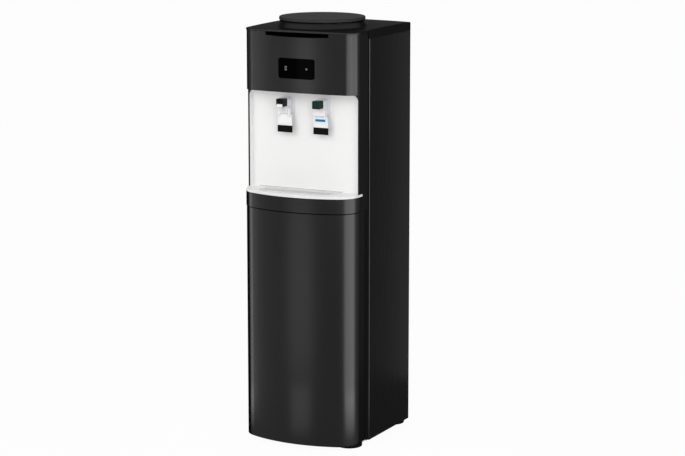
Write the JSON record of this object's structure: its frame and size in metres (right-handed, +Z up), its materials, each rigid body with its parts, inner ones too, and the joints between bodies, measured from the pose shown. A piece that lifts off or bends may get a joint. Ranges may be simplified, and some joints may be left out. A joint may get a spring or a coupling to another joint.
{
  "type": "water dispenser",
  "caption": "Free-standing top-loading water dispenser with a round dust lid, hot and cold lever taps in a white alcove, a drip tray and a storage cabinet behind a bowed door.",
  "frame": {"origin": "on the floor, under the middle of the overall box", "axes": "+Z up, front with the taps towards -Y, cold tap and door hinge on the +X side"},
  "size_m": [0.31, 0.368, 1.0588],
  "materials": {
    "black_gloss": "glossy black moulding",
    "black_cover": "satin black moulding",
    "black_steel": "smooth black paint",
    "grey_steel": "plain grey coated sheet",
    "white_plastic": "smooth white moulding",
    "tap_plastic": "smooth pale grey moulding",
    "black_cap": "glossy black",
    "black_pad": "matt black",
    "tray_grey": "matt grey moulding",
    "dark_window": "polished dark window",
    "board": "green circuit board with lamps",
    "liner": "matt white moulding",
    "hinge_steel": "plain steel",
    "stainless": "fine brushed",
    "copper": "bare drawn pipe",
    "condenser_black": "black enamel",
    "foam": "pale foam",
    "heater": "plain metal",
    "tubing": "milky flexible tube",
    "black_rubber": "matt black",
    "black_fitting": "matt black moulding",
    "red_rocker": "glossy red",
    "green_rocker": "glossy green"
  },
  "bodies": {
    "cabinet": {"upper_front_panel": "black_gloss", "tray_band": "black_gloss", "top_cover": "black_cover", "door_frame": "black_cover", "side_panel_left": "black_steel", "side_panel_right": "black_steel", "base_pan": "black_steel", "rear_panel": "grey_steel", "cold_tank_shelf": "grey_steel", "hot_tank_shelf": "grey_steel", "alcove_panel": "white_plastic", "tray_ledge": "white_plastic", "hot_tap_body": "tap_plastic", "cold_tap_body": "tap_plastic", "tap_nuts": "tap_plastic", "hot_tap_cap": "black_cap", "cold_tap_cap": "black_cap", "indicator_window": "dark_window", "indicator_board": "board", "cabinet_liner": "liner", "bottle_funnel": "liner", "baffle_plate": "liner", "door_hinge_pins": "hinge_steel", "panel_screws": "hinge_steel", "cold_tank": "stainless", "hot_tank": "stainless", "evaporator_coil": "copper", "refrigerant_lines": "copper", "filter_drier": "copper", "condenser_coil": "condenser_black", "condenser_wires": "condenser_black", "compressor": "condenser_black", "tank_foam": "foam", "hot_tank_jacket": "foam", "heater_band": "heater", "thermostats": "heater", "water_tubes": "tubing", "compressor_grommets": "black_rubber", "tank_seal": "black_rubber", "feet": "black_rubber", "terminal_cover": "black_fitting", "condenser_clips": "black_fitting", "switch_plate": "black_fitting", "cord_gland": "black_fitting"},
    "door": {"door_shell": "black_gloss", "door_inner_panel": "liner"},
    "lid": {"dust_lid": "black_cover"},
    "tray": {"drip_tray": "tray_grey"},
    "grille": {"drip_grille": "tray_grey"},
    "hot_lever_body": {"hot_lever": "white_plastic", "hot_pad": "black_pad"},
    "cold_lever_body": {"cold_lever": "white_plastic", "cold_pad": "black_pad"},
    "hot_valve": {"hot_stem": "hinge_steel"},
    "cold_valve": {"cold_stem": "hinge_steel"},
    "hot_lock": {"hot_lock_button": "white_plastic"},
    "heating_switch": {"heating_rocker": "red_rocker"},
    "cooling_switch": {"cooling_rocker": "green_rocker"},
    "drain_plug": {"drain_cap": "black_rubber"}
  },
  "joints": [
    {"name": "door_hinge", "type": "hinge", "parent": "cabinet", "child": "door", "pos_m": [0.146, -0.0746, 0.30385], "axis": [0, 0, 1], "range_deg": [0, 90]},
    {"name": "lid_lift", "type": "slide", "parent": "cabinet", "child": "lid", "axis": [0, 0, 1], "range_m": [0, 0.06]},
    {"name": "tray_lift", "type": "slide", "parent": "cabinet", "child": "tray", "axis": [0, 0, 1], "range_m": [0, 0.06]},
    {"name": "grille_lift", "type": "slide", "parent": "tray", "child": "grille", "axis": [0, 0, 1], "range_m": [0, 0.03]},
    {"name": "hot_lever_pivot", "type": "hinge", "parent": "cabinet", "child": "hot_lever_body", "pos_m": [-0.0495, -0.112, 0.8346], "axis": [1, 0, 0], "range_deg": [0, 12], "stiffness_Nm_per_rad": 0.6, "springref_deg": -6.88},
    {"name": "cold_lever_pivot", "type": "hinge", "parent": "cabinet", "child": "cold_lever_body", "pos_m": [0.0495, -0.112, 0.8346], "axis": [1, 0, 0], "range_deg": [0, 12], "stiffness_Nm_per_rad": 0.6, "springref_deg": -6.88},
    {"name": "hot_valve_lift", "type": "slide", "parent": "cabinet", "child": "hot_valve", "axis": [0, 0, 1], "range_m": [0, 0.0025]},
    {"name": "cold_valve_lift", "type": "slide", "parent": "cabinet", "child": "cold_valve", "axis": [0, 0, 1], "range_m": [0, 0.0025]},
    {"name": "hot_lock_push", "type": "slide", "parent": "cabinet", "child": "hot_lock", "axis": [0, 1, 0], "range_m": [0, 0.0025], "stiffness_N_per_m": 300, "springref_m": -0.002},
    {"name": "heating_rock", "type": "hinge", "parent": "cabinet", "child": "heating_switch", "pos_m": [0.0632, 0.153, 0.9716], "axis": [-1, 0, 0], "range_deg": [0, 16]},
    {"name": "cooling_rock", "type": "hinge", "parent": "cabinet", "child": "cooling_switch", "pos_m": [0.0932, 0.153, 0.9716], "axis": [-1, 0, 0], "range_deg": [0, 16]},
    {"name": "drain_cap_pull", "type": "slide", "parent": "cabinet", "child": "drain_plug", "axis": [0, 1, 0], "range_m": [0, 0.025]}
  ],
  "couplings": [
    {"joint": "hot_valve_lift", "follows": "hot_lever_pivot", "m_per_rad": 0.011},
    {"joint": "cold_valve_lift", "follows": "cold_lever_pivot", "m_per_rad": 0.011}
  ]
}
